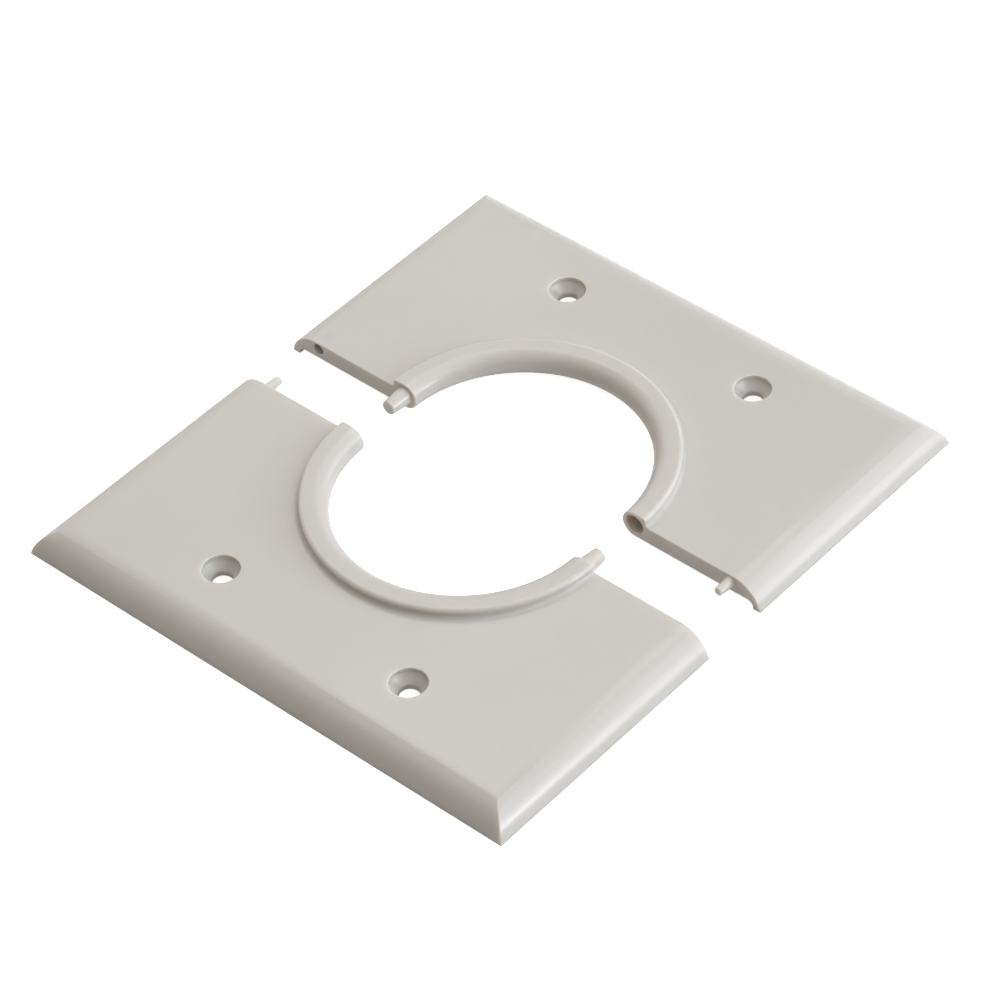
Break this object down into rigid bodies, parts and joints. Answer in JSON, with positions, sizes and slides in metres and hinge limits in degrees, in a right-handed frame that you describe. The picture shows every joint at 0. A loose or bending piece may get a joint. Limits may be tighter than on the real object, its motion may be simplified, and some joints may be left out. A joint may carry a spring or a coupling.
{
  "type": "split cable wall plate",
  "caption": "Two-gang wall plate split across a large round cable opening into matching halves, with a raised rounded ring, recessed screw holes and pegs that seat in sockets of the other half.",
  "frame": {"origin": "midway between the two halves as they lie apart, in the plane of their rims, which is the wall plane", "axes": "+X along the split, +Y across the split towards the upper half, +Z out of the visible face"},
  "size_m": [0.116, 0.129, 0.0074],
  "materials": {
    "moulding": "satin off-white, smooth moulded surface"
  },
  "bodies": {
    "root": {"upper_half": "moulding", "lower_half": "moulding"}
  },
  "joints": []
}
